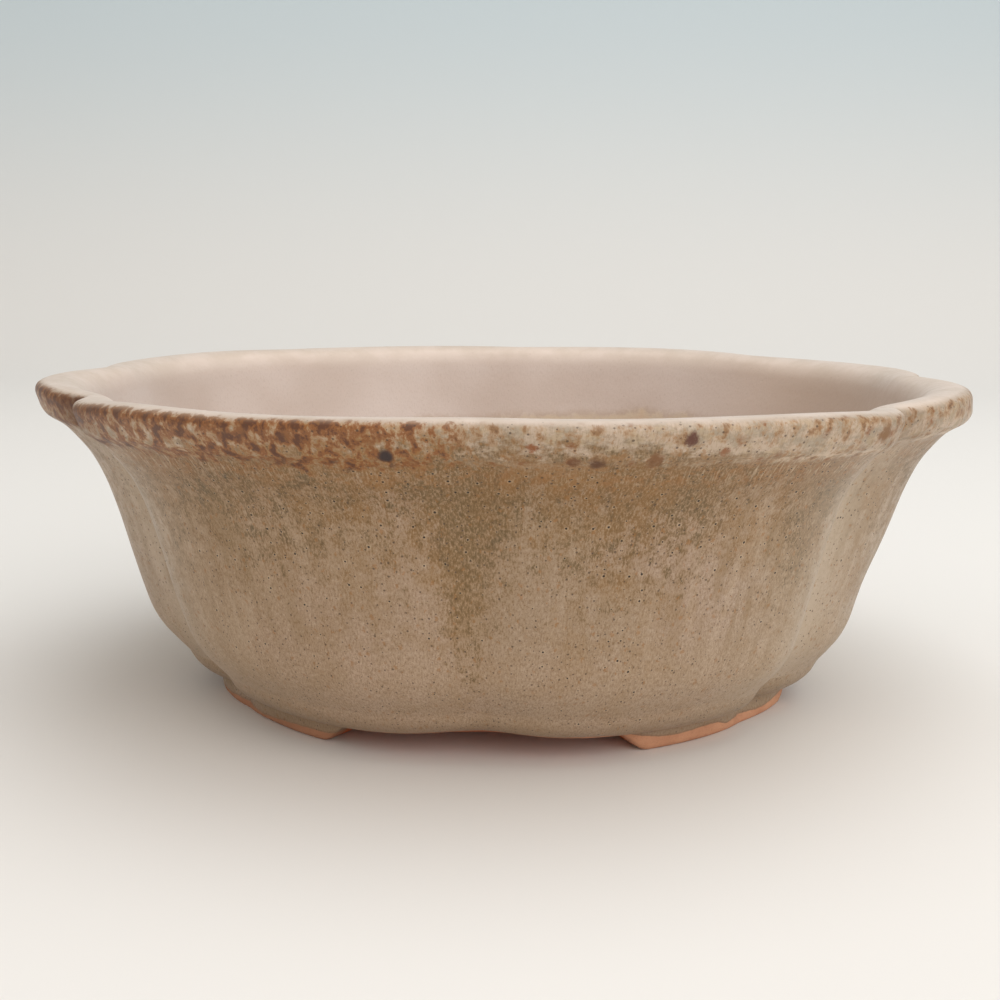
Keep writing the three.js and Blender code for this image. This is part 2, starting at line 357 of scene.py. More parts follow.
def add_fields(obj, values, sheet):
    """values are per vertex; sheet is (mm round the pot, mm up the skin) per face corner."""
    mesh = obj.data
    for name, numbers in values.items():
        layer = mesh.attributes.new(name, "FLOAT", "POINT")
        layer.data.foreach_set("value", np.asarray(numbers, np.float32).ravel())
    flat = np.concatenate([np.asarray(sheet, np.float32), np.zeros((len(sheet), 1), np.float32)], axis=1)
    layer = mesh.attributes.new("sheet", "FLOAT_VECTOR", "CORNER")
    layer.data.foreach_set("vector", flat.ravel())


def ring_sheet(angles, reach):
    """The sheet coordinates of the corners of ring_faces, without a tear where the sheet's ends meet."""
    rows = len(reach)
    turn = np.append(angles, 180.0)
    k, j = np.meshgrid(np.arange(rows), np.arange(len(angles)), indexing="ij")
    k2 = (k + 1) % rows
    u = np.stack([turn[j], turn[j + 1], turn[j + 1], turn[j]], axis=-1)
    v = np.stack([reach[k], reach[k], reach[k2], reach[k2]], axis=-1)
    return np.stack([np.radians(u) * SHEET_RADIUS, v], axis=-1).reshape(-1, 2)


def ring_faces(rows, columns):
    """Quads of a closed stack of rings: row to row, and the last row to the first."""
    k, j = np.meshgrid(np.arange(rows), np.arange(columns), indexing="ij")
    k2, j2 = (k + 1) % rows, (j + 1) % columns
    corners = [k * columns + j, k * columns + j2, k2 * columns + j2, k2 * columns + j]
    return np.stack(corners, axis=-1).reshape(-1, 4)


def ring_piece(name, row_ids, flat_after):
    """A closed piece of the pot's skin. After the rows in flat_after comes a hidden flat contact face."""
    grid = SKIN[row_ids]
    rows, columns = grid.shape[:2]
    faces = ring_faces(rows, columns)
    normals = SKIN_NORMALS[row_ids].reshape(-1, 3)[faces]
    for row, up in flat_after.items():
        normals[row * columns : (row + 1) * columns] = (0, 0, up)
    obj = add_object(name, grid.reshape(-1, 3), faces.tolist(), normals.reshape(-1, 3).tolist())
    add_fields(obj, {k: v[row_ids] for k, v in FIELDS.items()}, ring_sheet(ANGLES, REACH[row_ids]))
    return obj


outer_rows = np.arange(R_SLAB, R_OUTER + 1)
inner_rows = np.arange(R_LIP, R_INNER + 1)
wall_rows = np.concatenate([outer_rows, inner_rows])
wall = ring_piece("wall", wall_rows, {len(outer_rows) - 1: 1, len(wall_rows) - 1: -1})
lip_rows = np.arange(R_OUTER, R_LIP + 1)
lip = ring_piece("lip", lip_rows, {len(lip_rows) - 1: -1})

# ---- Floor slab with its holes ------------------------------------------------------------

screen_low, screen_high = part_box("drain_screen_right")
DRAIN_X = (screen_low.x + screen_high.x) / 2 / MM
DRAIN_RADIUS = 10.5
WIRE_HOLE_X = 34
WIRE_HOLE_Y = 44
WIRE_HOLE_RADIUS = 2.5
HOLES = [(side * DRAIN_X, 0, DRAIN_RADIUS) for side in (-1, 1)]
HOLES += [(side * WIRE_HOLE_X, end * WIRE_HOLE_Y, WIRE_HOLE_RADIUS) for side in (-1, 1) for end in (-1, 1)]
HOLE_ROUND = 0.8
UNDERSIDE_RADIUS = 82.0
BARE = -9.0  # a glaze value well below the edge of the glaze


def make_slab():
    verts, faces, normals, glaze, sheet = [], [], [], [], []

    def add(points, quads, quad_normals, point_glaze, quad_sheet):
        start = len(verts)
        verts.extend(points)
        glaze.extend(point_glaze)
        faces.extend([[start + v for v in face] for face in quads])
        normals.extend(np.reshape(quad_normals, (-1, 3)).tolist())
        sheet.extend(np.reshape(quad_sheet, (-1, 2)).tolist())

    # From the flat underside round the edge and in under the wall, to the inner foot of the wall.
    under = place(np.full(AROUND, UNDERSIDE_RADIUS), ANGLES, np.full(AROUND, FOOT_TOP), outside=0.0)
    rings = np.concatenate([under[None], SKIN[: R_SLAB + 1], SKIN[R_INNER][None]])
    rows = len(rings)
    blank_ring = np.zeros((1, AROUND, 3))
    ring_normals = np.concatenate([blank_ring, SKIN_NORMALS[: R_SLAB + 1], blank_ring])
    ring_normals[0], ring_normals[-1] = (0, 0, -1), (0, 0, 1)
    bare_ring = np.full((1, AROUND), BARE)
    ring_glaze = np.concatenate([bare_ring, FIELDS["glaze"][: R_SLAB + 1], bare_ring])
    quads = ring_faces(rows, AROUND)[: (rows - 1) * AROUND]
    corner_normals = ring_normals.reshape(-1, 3)[quads]
    corner_normals[:AROUND], corner_normals[-AROUND:] = (0, 0, -1), (0, 0, 1)
    reach = np.concatenate([[REACH[0] - 5], REACH[: R_SLAB + 1], [REACH[R_SLAB] + 5]])
    add(rings.reshape(-1, 3).tolist(), quads.tolist(), corner_normals, ring_glaze.ravel().tolist(),
        ring_sheet(ANGLES, reach)[: 4 * len(quads)])
    loops = {1: [list(range((rows - 1) * AROUND, rows * AROUND))], -1: [list(range(AROUND))]}

    for x, y, radius in HOLES:
        count = 96 if radius == DRAIN_RADIUS else 40
        turn = np.linspace(0, 2 * math.pi, count, endpoint=False)
        out = np.stack([np.cos(turn), np.sin(turn)], axis=1)
        quarter = np.linspace(0, math.pi / 2, 5)
        rounds = [
            (HOLE_ROUND * (1 - math.sin(q)), HOLE_ROUND * (1 - math.cos(q)), math.cos(q)) for q in quarter
        ]
        levels = [(wider, SLAB_TOP - inset, nz) for wider, inset, nz in rounds]
        levels += [(wider, FOOT_TOP + inset, -nz) for wider, inset, nz in rounds[::-1]]
        ring, ring_n = [], []
        for extra, z, nz in levels:
            r, flat = radius + extra, math.sqrt(1 - nz * nz)
            ring += [((x + r * c) * MM, (y + r * s) * MM, z * MM) for c, s in out]
            ring_n += [(-flat * c, -flat * s, nz) for c, s in out]
        start = len(verts)
        quads = ring_faces(len(levels), count)[: (len(levels) - 1) * count]
        quad_normals = np.asarray(ring_n)[quads]
        add(ring, quads.tolist(), quad_normals, [BARE] * len(ring), np.zeros((4 * len(quads), 2)))
        loops[1].append(list(range(start, start + count)))
        loops[-1].append(list(range(start + (len(levels) - 1) * count, start + len(levels) * count)))

    for up, rings_here in loops.items():
        ids = [v for loop in rings_here for v in loop]
        edges, at = [], 0
        for loop in rings_here:
            edges += [(at + i, at + (i + 1) % len(loop)) for i in range(len(loop))]
            at += len(loop)
        flat = [Vector(verts[v][:2]) for v in ids]
        _, _, triangles, originals, _, _ = delaunay_2d_cdt(flat, edges, [], 1, 1e-7)
        for triangle in triangles:
            ring = [ids[originals[v][0]] for v in triangle]
            a, b, c = (np.asarray(verts[v]) for v in ring)
            centre = (a + b + c) / 3 / MM
            if any(math.hypot(centre[0] - x, centre[1] - y) < r for x, y, r in HOLES):
                continue
            if np.cross(b - a, c - a)[2] * up < 0:
                ring.reverse()
            faces.append(ring)
            normals.extend([(0, 0, up)] * 3)
            sheet.extend([(0, 0)] * 3)
    obj = add_object("floor", verts, faces, normals)
    blank = np.zeros(len(verts))
    values = {name: blank for name in FIELDS}
    values["reach"] = blank + REACH[0]
    values["glaze"] = glaze
    add_fields(obj, values, sheet)
    return obj


def volume(obj):
    """Signed volume: negative when the faces point inwards."""
    co = np.array([v.co for v in obj.data.vertices])
    total = 0.0
    for p in obj.data.polygons:
        v = co[list(p.vertices)]
        for i in range(1, len(v) - 1):
            total += np.dot(v[0], np.cross(v[i], v[i + 1])) / 6
    return total


slab = make_slab()

# ---- Feet ---------------------------------------------------------------------------------

FOOT_THICKNESS = 15
FOOT_END = 7.0  # degrees over which an end slopes down to the table
FOOT_STEPS = 170
FOOT_TOP_RADIUS = 86.2
FOOT_LOW_GROOVING = 0.15  # the feet follow the grooves at the top and are nearly round at the bottom

# The outer and the inner face of a foot, as (mm in from the face, share of the foot's depth).
FOOT_DOWN = [
    (0, 0), (0.35, 0.12), (0.6, 0.3), (0.8, 0.5), (1.0, 0.7), (1.4, 0.86), (2.0, 0.96), (3.0, 1.0),
    (5.5, 1.0),
]
FOOT_UP = [(5.0, 1.0), (3.2, 1.0), (2.2, 0.96), (1.6, 0.86), (1.0, 0.6), (0.5, 0.3), (0, 0)]


def foot_section(depth):
    """Outline as (radius, height), from the outer top corner round the bottom to the inner top corner."""
    outer, inner = FOOT_TOP_RADIUS, FOOT_TOP_RADIUS - FOOT_THICKNESS
    points = [(outer - step, FOOT_TOP - depth * fall) for step, fall in FOOT_DOWN]
    points += [((outer + inner) / 2, FOOT_TOP - depth)]
    points += [(inner + step, FOOT_TOP - depth * fall) for step, fall in FOOT_UP]
    return np.asarray(points)


def make_foot(name, start, end):
    angles = np.linspace(start, end, FOOT_STEPS)
    grid, glaze, reach = [], [], []
    for angle in angles:
        share = smoothstep(0, FOOT_END, min(angle - start, end - angle))
        outline = foot_section(FOOT_TOP * max(0.01, float(share)))
        grooving = FOOT_LOW_GROOVING + (1 - FOOT_LOW_GROOVING) * (outline[:, 1] / FOOT_TOP)
        grid.append(place(outline[:, 0], np.full(len(outline), angle), outline[:, 1], grooving))
        outer_half = np.arange(len(outline)) < len(FOOT_DOWN)
        glaze.append(np.where(outer_half, outline[:, 1] - clay_line(angle), BARE))
        reach.append(REACH[0] - FOOT_TOP + outline[:, 1])
    grid = np.asarray(grid)
    rows, columns = grid.shape[:2]
    faces = ring_faces(rows, columns)[: (rows - 1) * columns]
    u = np.radians(angles)[:, None] * SHEET_RADIUS * np.ones((1, columns))
    sheet = np.stack([u, np.asarray(reach)], axis=-1).reshape(-1, 2)
    first = list(range(columns))[::-1]
    last = [(rows - 1) * columns + i for i in range(columns)]
    corners = np.concatenate([faces.ravel(), first, last])
    obj = add_object(name + "_clay", grid.reshape(-1, 3), faces.tolist() + [first, last])
    blank = np.zeros(rows * columns)
    values = {key: blank for key in FIELDS}
    values["reach"] = np.asarray(reach).ravel()
    values["glaze"] = np.asarray(glaze).ravel()
    add_fields(obj, values, sheet[corners])
    if volume(obj) < 0:
        obj.data.flip_normals()
    return obj


feet = {name: make_foot(name, *span) for name, span in FOOT_SPANS.items()}

# ---- Materials ----------------------------------------------------------------------------


def linear(c):
    return c / 12.92 if c <= 0.04045 else ((c + 0.055) / 1.055) ** 2.4


def tint(r, g, b):
    """An sRGB colour of 0 to 255 as a linear shader colour."""
    return (linear(r / 255), linear(g / 255), linear(b / 255), 1.0)


class Shader:
    """A small writer of node trees."""

    def __init__(self, name):
        self.material = bpy.data.materials.new(name)
        self.material.use_nodes = True
        self.tree = self.material.node_tree
        self.tree.nodes.clear()
        self.out = self.tree.nodes.new("ShaderNodeOutputMaterial")
        self.bsdf = self.tree.nodes.new("ShaderNodeBsdfPrincipled")
        self.tree.links.new(self.bsdf.outputs[0], self.out.inputs[0])
        self.coords = self.tree.nodes.new("ShaderNodeTexCoord").outputs["Object"]

    def plug(self, socket, value):
        if isinstance(value, bpy.types.NodeSocket):
            self.tree.links.new(value, socket)
        else:
            socket.default_value = value

    def attr(self, name, vector=False):
        node = self.tree.nodes.new("ShaderNodeAttribute")
        node.attribute_name = name
        return node.outputs["Vector" if vector else "Fac"]

    def scaled(self, vector, scale):
        node = self.tree.nodes.new("ShaderNodeMapping")
        self.plug(node.inputs["Vector"], vector)
        node.inputs["Scale"].default_value = scale
        return node.outputs[0]

    def noise(self, vector, scale, detail=3.0, roughness=0.5, distortion=0.0):
        node = self.tree.nodes.new("ShaderNodeTexNoise")
        self.plug(node.inputs["Vector"], vector)
        node.inputs["Scale"].default_value = scale
        node.inputs["Detail"].default_value = detail
        node.inputs["Roughness"].default_value = roughness
        node.inputs["Distortion"].default_value = distortion
        return node.outputs["Fac"]

    def shaken(self, vector, scale, amount):
        """The vector moved about by a noise, for ragged outlines."""
        noise = self.tree.nodes.new("ShaderNodeTexNoise")
        self.plug(noise.inputs["Vector"], vector)
        noise.inputs["Scale"].default_value = scale
        noise.inputs["Detail"].default_value = 3.0
        noise.inputs["Roughness"].default_value = 0.65
        node = self.tree.nodes.new("ShaderNodeVectorMath")
        node.operation = "MULTIPLY_ADD"
        self.tree.links.new(noise.outputs["Color"], node.inputs[0])
        node.inputs[1].default_value = (2 * amount, 2 * amount, 0)
        self.plug(node.inputs[2], vector)
        return node.outputs[0]

    def parts(self, vector):
        node = self.tree.nodes.new("ShaderNodeSeparateXYZ")
        self.plug(node.inputs[0], vector)
        return node.outputs

    def cells(self, vector, scale):
        """Distance to the nearest point of a jittered lattice, and that point's two random numbers."""
        node = self.tree.nodes.new("ShaderNodeTexVoronoi")
        node.voronoi_dimensions = "2D"
        self.plug(node.inputs["Vector"], vector)
        node.inputs["Scale"].default_value = scale
        node.inputs["Randomness"].default_value = 1.0
        split = self.tree.nodes.new("ShaderNodeSeparateColor")
        self.tree.links.new(node.outputs["Color"], split.inputs[0])
        return node.outputs["Distance"], split.outputs[0], split.outputs[1]

    def math(self, op, a, b):
        node = self.tree.nodes.new("ShaderNodeMath")
        node.operation = op
        self.plug(node.inputs[0], a)
        self.plug(node.inputs[1], b)
        return node.outputs[0]

    def add(self, a, b):
        return self.math("ADD", a, b)

    def sub(self, a, b):
        return self.math("SUBTRACT", a, b)

    def mul(self, a, b):
        return self.math("MULTIPLY", a, b)

    def step(self, low, high, x):
        """A smooth step of x from low to high; low may be above high."""
        node = self.tree.nodes.new("ShaderNodeMapRange")
        node.interpolation_type = "SMOOTHSTEP"
        flip = low > high
        self.plug(node.inputs["Value"], x)
        node.inputs["From Min"].default_value = min(low, high)
        node.inputs["From Max"].default_value = max(low, high)
        node.inputs["To Min"].default_value = 1.0 if flip else 0.0
        node.inputs["To Max"].default_value = 0.0 if flip else 1.0
        return node.outputs[0]

    def blend(self, factor, a, b):
        node = self.tree.nodes.new("ShaderNodeMix")
        node.data_type = "RGBA"
        self.plug(node.inputs["Factor"], factor)
        self.plug(node.inputs[6], a)
        self.plug(node.inputs[7], b)
        return node.outputs[2]

    def finish(self, color, roughness, height=None, bump_distance=0.0):
        self.plug(self.bsdf.inputs["Base Color"], color)
        self.plug(self.bsdf.inputs["Roughness"], roughness)
        if height is not None:
            node = self.tree.nodes.new("ShaderNodeBump")
            node.inputs["Strength"].default_value = 1.0
            node.inputs["Distance"].default_value = bump_distance
            self.plug(node.inputs["Height"], height)
            self.tree.links.new(node.outputs[0], self.bsdf.inputs["Normal"])
        return self.material


# Single marks that catch the eye, as (degrees, mm up the skin, radius in mm, stretch, colour). The
# first is round; the others have ragged outlines.
MARKS = [
    (-8.6, 6.0, 1.35, 1.5, (50, 34, 32)),
    (12.6, 5.8, 1.6, 1.5, (96, 62, 38)),
    (10.3, 5.8, 1.3, 1.5, (110, 70, 40)),
    (21.2, 12.2, 1.2, 1.4, (92, 52, 36)),
    (46.0, 11.4, 2.4, 0.8, (128, 90, 50)),
    (18.2, 6.0, 1.5, 1.8, (122, 82, 46)),
    (6.3, 10.2, 1.0, 1.0, (140, 84, 44)),
    (25.1, 8.4, 1.0, 1.3, (138, 92, 58)),
]


def spots(s, sheet, scale, radius, chance_from, chance_to, squeeze=1.0, core=0.55):
    """Small dots on the sheet, in the share of cells whose random number is above chance_from."""
    distance, chance, size = s.cells(s.scaled(sheet, (1, squeeze, 0)), scale)
    reach_of_dot = s.mul(s.add(0.55, s.mul(size, 0.9)), radius * scale)
    dot = s.step(1.0, core, s.math("DIVIDE", distance, reach_of_dot))
    return s.mul(dot, s.step(chance_from, chance_to, chance))


GLAZE_RELIEF = 0.00022  # metres


def glaze_material(name):
    """The one glaze and clay of the whole pot; the mesh attributes say where each kind of surface is."""
    s = Shader(name)
    sheet = s.attr("sheet", vector=True)
    reach, glaze = s.attr("reach"), s.attr("glaze")
    band, crown, inside = s.attr("band"), s.attr("crown"), s.attr("inside")
    crease, iron = s.attr("crease"), s.attr("rust")
    run_length, combed = s.attr("runs"), s.attr("combed")
    p = s.scaled(s.coords, (1000, 1000, 1000))  # millimetres
    x_mm, _, height = s.parts(p)
    outside = s.sub(1.0, crown)

    broad = s.noise(p, 0.022, 2, 0.5)
    cloud = s.noise(p, 0.075, 4, 0.6)
    mottle = s.noise(p, 0.30, 4, 0.65)
    grain = s.noise(s.scaled(sheet, (1.9, 0.8, 1)), 1.0, 3, 0.75)
    clay_grain = s.noise(p, 1.6, 3, 0.75)
    streak = s.noise(s.scaled(sheet, (0.42, 0.055, 1)), 1.0, 4, 0.62)
    fibre = s.noise(s.scaled(sheet, (1.5, 0.16, 1)), 1.0, 3, 0.6)

    # Body of the glaze on the wall: pinkish beige, clouded with tan and grey, with ochre grain.
    color = s.blend(s.step(0.36, 0.64, broad), tint(178, 154, 136), tint(168, 145, 121))
    color = s.blend(s.mul(s.step(30.0, 100.0, x_mm), 0.5), color, tint(166, 148, 120))
    color = s.blend(s.mul(s.step(30.0, -70.0, x_mm), 0.48), color, tint(168, 138, 102))
    color = s.blend(s.mul(s.step(0.42, 0.68, cloud), 0.70), color, tint(156, 128, 96))
    color = s.blend(s.mul(s.step(0.50, 0.72, mottle), 0.35), color, tint(178, 156, 134))
    color = s.blend(s.mul(s.step(46.0, 16.0, height), 0.32), color, tint(190, 164, 136))
    color = s.blend(s.mul(s.step(0.46, 0.66, grain), 0.60), color, tint(124, 94, 60))
    color = s.blend(s.mul(s.step(0.46, 0.30, grain), 0.50), color, tint(198, 176, 154))
    dust = s.noise(p, 3.4, 2, 0.6)
    color = s.blend(s.mul(s.step(0.52, 0.70, dust), 0.55), color, tint(108, 84, 58))

    # Broad streaks down the side lobes, darker and paler in turn.
    broad_streak = s.noise(s.scaled(sheet, (0.17, 0.028, 1)), 1.0, 4, 0.62)
    streaked = s.mul(combed, s.add(0.2, s.mul(s.step(16.0, 50.0, height), 0.8)))
    dark_streak = s.mul(s.step(0.50, 0.62, broad_streak), streaked)
    color = s.blend(s.mul(dark_streak, 0.55), color, tint(134, 107, 70))
    pale_streak = s.mul(s.step(0.47, 0.37, broad_streak), streaked)
    color = s.blend(s.mul(pale_streak, 0.45), color, tint(190, 168, 144))

    # Ochre and olive runs below the band, granular at their ends.
    down = s.math("DIVIDE", s.add(s.add(run_length, reach), s.mul(s.sub(streak, 0.5), 50.0)), 16.0)
    run = s.step(-2.0, 1.7, s.add(down, s.mul(s.sub(mottle, 0.5), 5.5)))
    color = s.blend(s.mul(s.mul(run, outside), 0.38), color, tint(146, 112, 66))
    grained = s.step(0.30, 0.60, s.add(grain, s.mul(s.sub(run, 1.0), 0.30)))
    run = s.mul(s.mul(run, outside), s.add(0.18, s.mul(grained, 0.82)))
    run_color = s.blend(s.step(0.40, 0.62, mottle), tint(128, 92, 46), tint(100, 79, 45))
    run_color = s.blend(s.mul(s.step(0.46, 0.64, cloud), 0.6), run_color, tint(140, 98, 48))
    run_color = s.blend(s.mul(s.attr("olive"), 0.8), run_color, tint(104, 81, 46))
    run_color = s.blend(s.mul(s.step(0.55, 0.40, grain), 0.35), run_color, tint(160, 124, 78))
    color = s.blend(s.mul(run, 0.95), color, run_color)
    # Painted shade: the glaze is darker low on the wall, in the recess under the belly above the feet.
    color = s.blend(s.mul(s.step(13.5, 9.0, height), 0.35), color, tint(128, 104, 78))
    smudge = s.noise(s.scaled(sheet, (0.30, 0.12, 1)), 1.0, 4, 0.65)
    color = s.blend(s.mul(s.mul(run, s.step(0.52, 0.66, smudge)), 0.5), color, tint(80, 68, 44))

    # Ochre blotches along the seam under the band.
    patch = s.noise(s.scaled(sheet, (0.20, 0.30, 1)), 1.0, 5, 0.68)
    seam = s.mul(s.step(-9.0, -2.0, reach), s.mul(s.step(7.0, 2.0, reach), s.step(0.44, 0.56, patch)))
    color = s.blend(s.mul(s.mul(seam, s.step(0.36, 0.60, mottle)), 0.6), color, tint(148, 100, 48))

    # Fine lines that comb down from the lower edge of the band, most on the side lobes: dark ones of glaze,
    # and pale ones that are painted highlights on the curve under the band.
    comb = s.mul(s.mul(s.step(-16.0, -2.0, reach), s.step(7.0, 3.0, reach)), combed)
    color = s.blend(s.mul(s.mul(comb, s.step(0.50, 0.66, fibre)), 0.6), color, tint(140, 94, 54))
    # Painted highlights: the pale lines of the comb.
    painted_comb_highlight = s.mul(s.step(-8.0, 0.0, reach), s.mul(comb, s.step(0.47, 0.36, fibre)))
    color = s.blend(s.mul(painted_comb_highlight, 0.55), color, tint(208, 186, 160))

    # Painted highlights: pale stripes down the grooves, standing in for the light reflected in the hollows.
    painted_groove_highlight = s.math("POWER", crease, 0.8)
    color = s.blend(s.mul(s.mul(painted_groove_highlight, s.step(0.10, 0.50, streak)), 0.66), color, tint(194, 178, 158))

    # Band: pinkish grey. In the middle of the front the wall's ochre glaze climbs over its lower half;
    # at the sides its lower corner carries a painted highlight, a pale line along the ridge.
    band_color = s.blend(s.step(0.42, 0.60, patch), tint(188, 167, 146), tint(161, 146, 126))
    band_color = s.blend(s.mul(s.step(0.50, 0.66, fibre), 0.4), band_color, tint(146, 120, 90))
    band_color = s.blend(s.mul(s.step(0.48, 0.64, mottle), 0.5), band_color, tint(178, 154, 120))
    band_color = s.blend(s.mul(s.step(0.48, 0.66, grain), 0.5), band_color, tint(134, 110, 84))
    climb = s.add(2.0, s.mul(s.sub(patch, 0.5), 26.0))
    climb = s.add(s.mul(s.sub(1.0, combed), 7.5), s.add(s.mul(iron, 2.5), climb))
    ochre = s.mul(s.step(3.0, -2.5, s.sub(reach, climb)), s.sub(1.0, s.mul(combed, 0.5)))
    band_color = s.blend(ochre, band_color, color)
    # Painted highlight: a pale line along the band's lower corner on the side lobes.
    painted_ridge_highlight = s.mul(s.step(0.5, 3.0, reach), s.step(6.5, 4.0, reach))
    painted_ridge_highlight = s.mul(painted_ridge_highlight, s.mul(combed, s.step(0.62, 0.44, patch)))
    band_color = s.blend(s.mul(painted_ridge_highlight, 0.55), band_color, tint(224, 204, 180))

    # Iron that breaks through along the band's top and bottom, with a ragged edge towards the wall.
    brush = s.noise(s.scaled(sheet, (0.36, 0.24, 1)), 1.0, 6, 0.66, 0.2)
    wander = s.mul(s.sub(s.add(s.mul(mottle, 1.2), cloud), 1.1), s.sub(16.0, s.mul(combed, 9.0)))
    wandering = s.add(reach, wander)
    upper = s.mul(s.step(6.5, 11.0, reach), s.step(16.6, 13.6, reach))
    lower = s.mul(s.step(-3.0, 2.0, wandering), s.step(9.0, 5.0, wandering))
    ready = s.add(s.mul(upper, 0.14), s.mul(lower, 0.12))
    amount = s.sub(s.add(brush, s.add(s.mul(iron, 0.19), ready)), 0.715)
    halo = s.mul(s.step(-0.06, 0.04, amount), s.add(0.4, s.mul(iron, 0.3)))
    band_color = s.blend(halo, band_color, tint(160, 116, 66))
    rust_color = s.blend(s.step(0.35, 0.65, iron), tint(140, 104, 68), tint(134, 80, 34))
    band_color = s.blend(s.mul(s.step(0.02, 0.09, amount), 0.9), band_color, rust_color)
    band_color = s.blend(s.mul(s.step(0.09, 0.19, amount), 0.9), band_color, tint(86, 49, 28))
    # Dark iron in the band's creases, which also paints the shade that falls in them.
    band_color = s.blend(s.mul(s.mul(crease, iron), 0.9), band_color, tint(84, 50, 30))
    band = s.mul(band, s.step(-1.5, 3.0, s.add(s.sub(reach, 0.8), s.mul(wander, 1.2))))
    color = s.blend(band, color, band_color)

    # Crown of the lip and the inside: smooth pinkish cream.
    cream = s.blend(s.step(0.35, 0.65, cloud), tint(214, 197, 184), tint(204, 187, 172))
    cream_inside = s.blend(s.step(0.35, 0.65, broad), tint(202, 188, 179), tint(192, 176, 165))
    cream_inside = s.blend(s.mul(s.step(0.48, 0.70, grain), 0.30), cream_inside, tint(168, 148, 132))
    # Painted shade: the inside is darker towards +X, where its wall faces away from the light.
    cream_inside = s.blend(s.mul(s.step(50.0, 110.0, x_mm), 0.5), cream_inside, tint(176, 150, 124))
    crown_color = s.blend(inside, cream, cream_inside)
    brushed_over = s.mul(s.step(0.02, 0.10, amount), s.step(17.0, 14.6, reach))
    crown_color = s.blend(s.mul(brushed_over, 0.8), crown_color, tint(134, 90, 50))
    color = s.blend(crown, color, crown_color)

    # Iron flecks, pinholes and single marks.
    ragged_sheet = s.shaken(sheet, 0.7, 1.3)
    flecks = s.mul(spots(s, ragged_sheet, 0.42, 0.40, 0.60, 0.70, 0.7), 0.5)
    color = s.blend(s.mul(flecks, outside), color, tint(150, 102, 48))
    dark = spots(s, sheet, 0.55, 0.26, 0.62, 0.68)
    color = s.blend(s.mul(s.mul(dark, 0.80), outside), color, tint(78, 58, 42))
    blots = spots(s, ragged_sheet, 0.18, 1.25, 0.50, 0.56, 0.8, 0.1)
    blots = s.mul(blots, s.mul(band, s.step(0.32, 0.60, mottle)))
    color = s.blend(blots, color, tint(132, 84, 42))
    crowd = s.add(0.12, s.add(s.mul(run, 0.55), s.mul(s.step(0.45, 0.65, cloud), 0.12)))
    hole_distance, hole_chance, hole_size = s.cells(sheet, 0.30)
    holes = s.math("DIVIDE", hole_distance, s.mul(s.add(0.5, hole_size), 0.068))
    on_lip = s.math("MAXIMUM", crown, band)
    kept = s.mul(s.math("LESS_THAN", hole_chance, crowd), s.sub(1.0, s.mul(on_lip, 0.9)))
    pit_rim = s.mul(s.mul(s.step(2.4, 1.5, holes), s.step(0.9, 1.3, holes)), kept)
    color = s.blend(s.mul(pit_rim, 0.22), color, tint(208, 186, 156))
    holes = s.mul(s.step(1.0, 0.6, holes), kept)
    color = s.blend(holes, color, tint(34, 24, 18))
    clean_xy, ragged_xy = s.parts(sheet), s.parts(ragged_sheet)
    for i, (degrees, up, radius, stretch, mark) in enumerate(MARKS):
        x, y, _ = ragged_xy if i > 0 else clean_xy
        across = s.math("POWER", s.mul(s.sub(x, math.radians(degrees) * SHEET_RADIUS), 1.0 / radius), 2.0)
        along = s.math("POWER", s.mul(s.sub(y, up), 1.0 / (radius * stretch)), 2.0)
        spot = s.step(1.9, 0.3, s.add(across, along))
        broken = s.step(0.22, 0.52, mottle) if i > 0 else s.step(-0.4, 0.3, mottle)
        color = s.blend(s.mul(spot, broken), color, tint(*mark))

    # Inside, the glaze thins to a ragged brown edge; below it the clay is bare.
    ragged = s.add(s.add(glaze, s.mul(s.sub(cloud, 0.5), 7.0)), s.mul(s.sub(mottle, 0.5), 3.0))
    thin = s.mul(s.mul(inside, s.step(3.4, 0.6, ragged)), s.step(0.36, 0.56, mottle))
    color = s.blend(s.mul(thin, 0.30), color, tint(150, 118, 76))
    wash = s.mul(inside, s.step(-11.0, 0.0, s.add(ragged, s.mul(s.sub(cloud, 0.5), 10.0))))
    clay = s.blend(s.step(0.35, 0.65, cloud), tint(206, 152, 118), tint(193, 138, 106))
    clay = s.blend(s.mul(s.step(0.52, 0.72, clay_grain), 0.40), clay, tint(154, 102, 70))
    # Painted shade: the clay is darker towards -X, on the left feet that face away from the light.
    clay = s.blend(s.mul(s.step(10.0, -60.0, x_mm), 0.45), clay, tint(146, 98, 70))
    clay = s.blend(s.mul(inside, 0.75), clay, tint(180, 150, 126))
    clay = s.blend(s.mul(wash, 0.95), clay, tint(196, 180, 158))
    underneath = s.mul(s.step(7.6, 6.3, height), s.step(-5.0, -8.0, glaze))
    clay = s.blend(underneath, clay, tint(208, 116, 66))
    edge = s.add(glaze, s.mul(inside, s.sub(ragged, glaze)))
    edge = s.add(edge, s.mul(s.sub(mottle, 0.5), 0.9))
    edge = s.mul(edge, s.sub(1.0, s.mul(inside, 0.9)))
    bare = s.step(0.12, -0.12, edge)
    color = s.blend(bare, color, clay)
    rim_of_glaze = s.mul(s.step(-0.1, 0.15, edge), s.mul(s.step(0.6, 0.2, edge), s.sub(1.0, inside)))
    color = s.blend(s.mul(rim_of_glaze, 0.45), color, tint(132, 92, 58))

